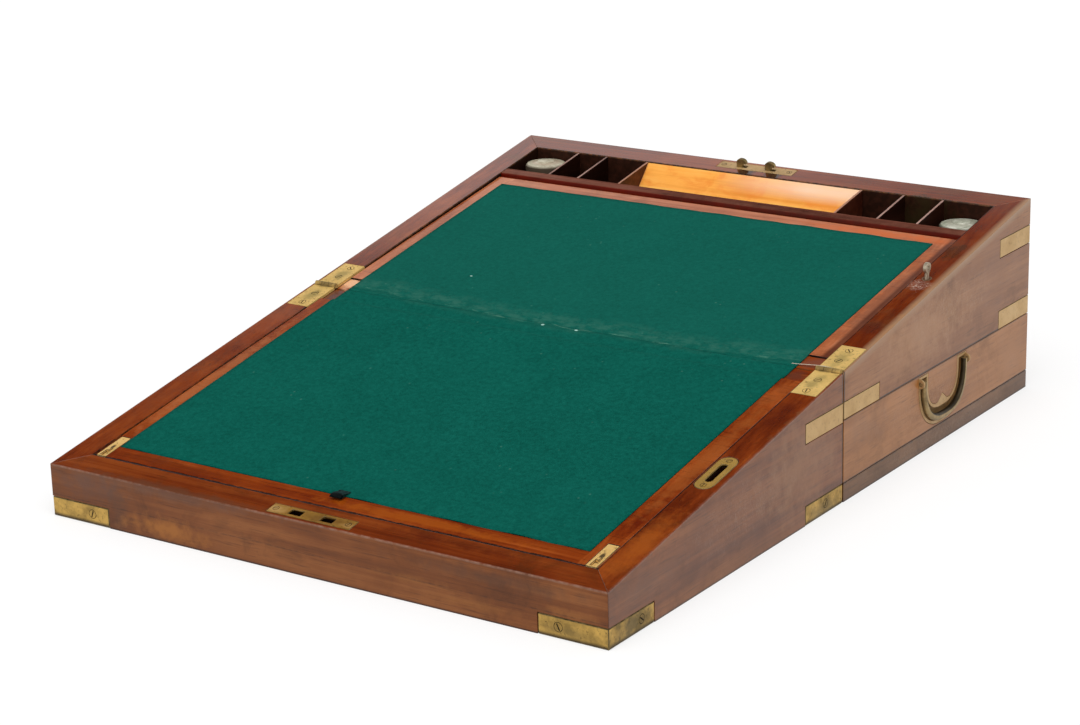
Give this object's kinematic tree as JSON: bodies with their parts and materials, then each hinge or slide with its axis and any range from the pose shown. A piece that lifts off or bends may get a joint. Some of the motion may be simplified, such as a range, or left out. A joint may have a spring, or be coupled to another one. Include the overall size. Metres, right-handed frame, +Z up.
{
  "type": "travel writing desk",
  "caption": "Brass-bound wooden writing box opened out into a baize-covered writing slope, with a pen compartment, inkwells, lock and side drawer.",
  "frame": {"origin": "on the table, under the hinge line, halfway along the box's width", "axes": "+Z up, +Y from the hinge line towards the base's high back, X along the width with +X to the drawer's end"},
  "size_m": [0.413, 0.524, 0.1374],
  "materials": {
    "lid_wood": "polished red mahogany",
    "base_wood": "faded mahogany, dull polish",
    "dark_wood": "darkened, dull",
    "inner_wood": "unpolished",
    "tray_wood": "light, oiled",
    "brass": "worn, dull",
    "cap_metal": "plated, tarnished",
    "ink_glass": "clear",
    "baize": "napped wool cloth"
  },
  "bodies": {
    "base": {"base_bottom_board": "dark_wood", "base_left_wall": "base_wood", "base_right_wall": "base_wood", "base_hinge_wall": "base_wood", "base_back_wall": "base_wood", "base_deck": "inner_wood", "pen_rail": "base_wood", "divider_ink_left": "base_wood", "divider_slot_left": "base_wood", "divider_slot_right": "base_wood", "divider_ink_right": "base_wood", "lock_case": "brass", "key_escutcheon": "brass", "base_strap_back_upper_left": "brass", "base_strap_back_upper_right": "brass", "base_strap_back_lower_left": "brass", "base_strap_back_lower_right": "brass", "base_strap_hinge_left": "brass", "base_strap_hinge_right": "brass", "base_hinge_leaf_left": "brass", "base_hinge_leaf_right": "brass", "left_handle_plate": "brass"},
    "lid": {"lid_board": "lid_wood", "lid_left_wall": "lid_wood", "lid_right_wall": "lid_wood", "lid_front_wall": "lid_wood", "lid_hinge_wall": "lid_wood", "strike_plate": "brass", "pin_escutcheon": "brass", "lid_bracket_front_left": "brass", "lid_bracket_front_right": "brass", "lid_bracket_hinge_left": "brass", "lid_bracket_hinge_right": "brass", "lid_strap_hinge_left": "brass", "lid_strap_hinge_right": "brass", "lid_hinge_leaf_left": "brass", "lid_hinge_leaf_right": "brass"},
    "lid_flap": {"lid_flap": "lid_wood", "lid_baize": "baize", "catch_plate_left": "brass", "catch_plate_right": "brass"},
    "base_flap": {"base_flap": "lid_wood", "base_baize": "baize"},
    "catch_left": {"catch_bolt_left": "brass"},
    "catch_right": {"catch_bolt_right": "brass"},
    "drawer": {"drawer_front": "base_wood", "drawer_side_near": "inner_wood", "drawer_side_far": "inner_wood", "drawer_back": "inner_wood", "drawer_bottom": "inner_wood", "drawer_handle_plate": "brass"},
    "drawer_bail": {"drawer_handle_bail": "brass"},
    "left_bail": {"left_handle_bail": "brass"},
    "lock_bolt": {"lock_hooks": "brass"},
    "drawer_pin": {"drawer_pin": "brass"},
    "inkwell_left": {"inkwell_left": "ink_glass"},
    "inkwell_right": {"inkwell_right": "ink_glass"},
    "cap_left": {"inkwell_cap_left": "cap_metal"},
    "cap_right": {"inkwell_cap_right": "cap_metal"},
    "pen_tray": {"pen_tray": "tray_wood"}
  },
  "joints": [
    {"name": "lid_hinge", "type": "hinge", "parent": "base", "child": "lid", "pos_m": [0, -0.00003, 0.08315], "axis": [-1, 0, 0], "range_deg": [0, 180]},
    {"name": "lid_flap_lift", "type": "hinge", "parent": "lid", "child": "lid_flap", "pos_m": [0, -0.01769, 0.07986], "axis": [1, 0, 0], "range_deg": [-90, 0]},
    {"name": "base_flap_lift", "type": "hinge", "parent": "base", "child": "base_flap", "pos_m": [0, 0.0163, 0.08557], "axis": [-1, 0, 0], "range_deg": [-90, 0]},
    {"name": "catch_left_slide", "type": "slide", "parent": "lid_flap", "child": "catch_left", "axis": [0, -0.9826, -0.1856], "range_m": [0, 0.005]},
    {"name": "catch_right_slide", "type": "slide", "parent": "lid_flap", "child": "catch_right", "axis": [0, -0.9826, -0.1856], "range_m": [0, 0.005]},
    {"name": "drawer_slide", "type": "slide", "parent": "base", "child": "drawer", "axis": [1, 0, 0], "range_m": [0, 0.3]},
    {"name": "drawer_bail_swing", "type": "hinge", "parent": "drawer", "child": "drawer_bail", "pos_m": [0.204, 0.134, 0.0471], "axis": [0, -1, 0], "range_deg": [0, 90]},
    {"name": "left_bail_swing", "type": "hinge", "parent": "base", "child": "left_bail", "pos_m": [-0.204, 0.134, 0.0471], "axis": [0, 1, 0], "range_deg": [0, 90]},
    {"name": "lock_slide", "type": "slide", "parent": "base", "child": "lock_bolt", "axis": [1, 0, 0], "range_m": [0, 0.0032]},
    {"name": "drawer_pin_lift", "type": "slide", "parent": "base", "child": "drawer_pin", "axis": [0, 0, -1], "range_m": [-0.05, 0.0038]},
    {"name": "inkwell_left_lift", "type": "slide", "parent": "base", "child": "inkwell_left", "axis": [0, 0, -1], "range_m": [-0.09, 0]},
    {"name": "inkwell_right_lift", "type": "slide", "parent": "base", "child": "inkwell_right", "axis": [0, 0, -1], "range_m": [-0.09, 0]},
    {"name": "cap_left_lift", "type": "slide", "parent": "inkwell_left", "child": "cap_left", "axis": [0, 0, -1], "range_m": [-0.03, 0]},
    {"name": "cap_right_lift", "type": "slide", "parent": "inkwell_right", "child": "cap_right", "axis": [0, 0, -1], "range_m": [-0.03, 0]},
    {"name": "pen_tray_lift", "type": "slide", "parent": "base", "child": "pen_tray", "axis": [0, 0, -1], "range_m": [-0.09, 0]}
  ]
}
